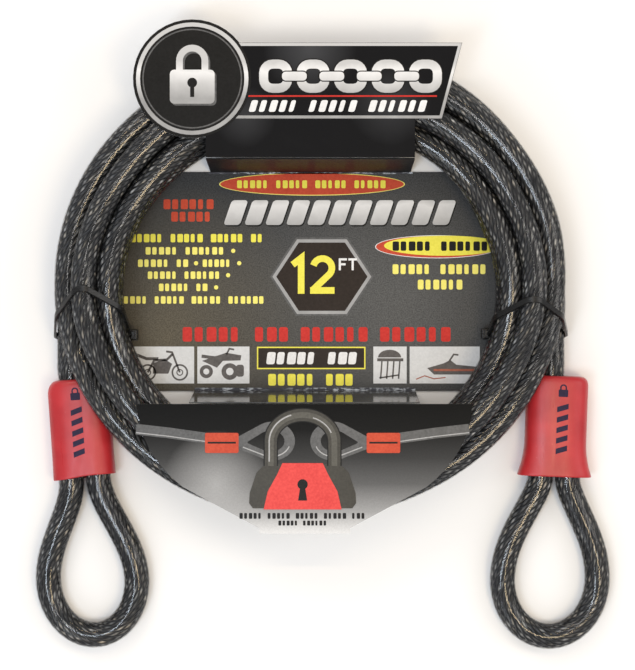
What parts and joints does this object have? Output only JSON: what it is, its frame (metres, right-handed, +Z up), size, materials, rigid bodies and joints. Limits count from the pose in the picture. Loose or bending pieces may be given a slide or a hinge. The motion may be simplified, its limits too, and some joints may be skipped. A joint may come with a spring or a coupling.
{
  "type": "cable lock",
  "caption": "Coiled vinyl-covered steel security cable with a looped eye and red sleeve at each end, tied in a flat coil on a folded printed card.",
  "frame": {"origin": "bottom centre of the whole object's box, on the surface that the card and the two ends lie on", "axes": "+Z up, square to the flat coil; -Y towards the two looped ends; +X towards the right-hand end as seen from above"},
  "size_m": [0.2667, 0.287, 0.0377],
  "materials": {
    "smoke_vinyl": "glossy smoke-tinted clear vinyl over twisted steel wire rope",
    "steel_rope": "galvanised wire rope, six twisted strands",
    "aluminium": "crimped, lightly tumbled",
    "red_vinyl": "satin moulded vinyl, fine grain",
    "black_nylon": "satin nylon",
    "black_card": "glossy black print on coated card",
    "grey_card": "glossy grey print on coated card"
  },
  "bodies": {
    "bundle": {"cable_coil": "smoke_vinyl", "left_cable_tie": "black_nylon", "right_cable_tie": "black_nylon", "card_upper_neck": "black_card", "card_centre_panel": "grey_card", "card_lower_neck": "black_card"},
    "left_end": {"left_end_jacket": "smoke_vinyl", "left_end_wire_rope": "steel_rope", "left_ferrule": "aluminium", "left_sleeve": "red_vinyl"},
    "right_end": {"right_end_jacket": "smoke_vinyl", "right_end_wire_rope": "steel_rope", "right_ferrule": "aluminium", "right_sleeve": "red_vinyl"},
    "header": {"card_header": "black_card"},
    "flap": {"card_flap": "grey_card"}
  },
  "joints": [
    {"name": "left_end_swing", "type": "hinge", "parent": "bundle", "child": "left_end", "pos_m": [-0.1173, 0.0014, 0.0084], "axis": [0, 0, -1], "range_deg": [0, 25], "stiffness_Nm_per_rad": 0.5},
    {"name": "right_end_swing", "type": "hinge", "parent": "bundle", "child": "right_end", "pos_m": [0.106, 0.0024, 0.0084], "axis": [0, 0, 1], "range_deg": [0, 25], "stiffness_Nm_per_rad": 0.5},
    {"name": "header_fold", "type": "hinge", "parent": "bundle", "child": "header", "pos_m": [0, 0.0815, 0.0369], "axis": [1, 0, 0], "range_deg": [0, 100]},
    {"name": "flap_fold", "type": "hinge", "parent": "bundle", "child": "flap", "pos_m": [0, -0.0279, 0.0369], "axis": [-1, 0, 0], "range_deg": [0, 100]}
  ]
}
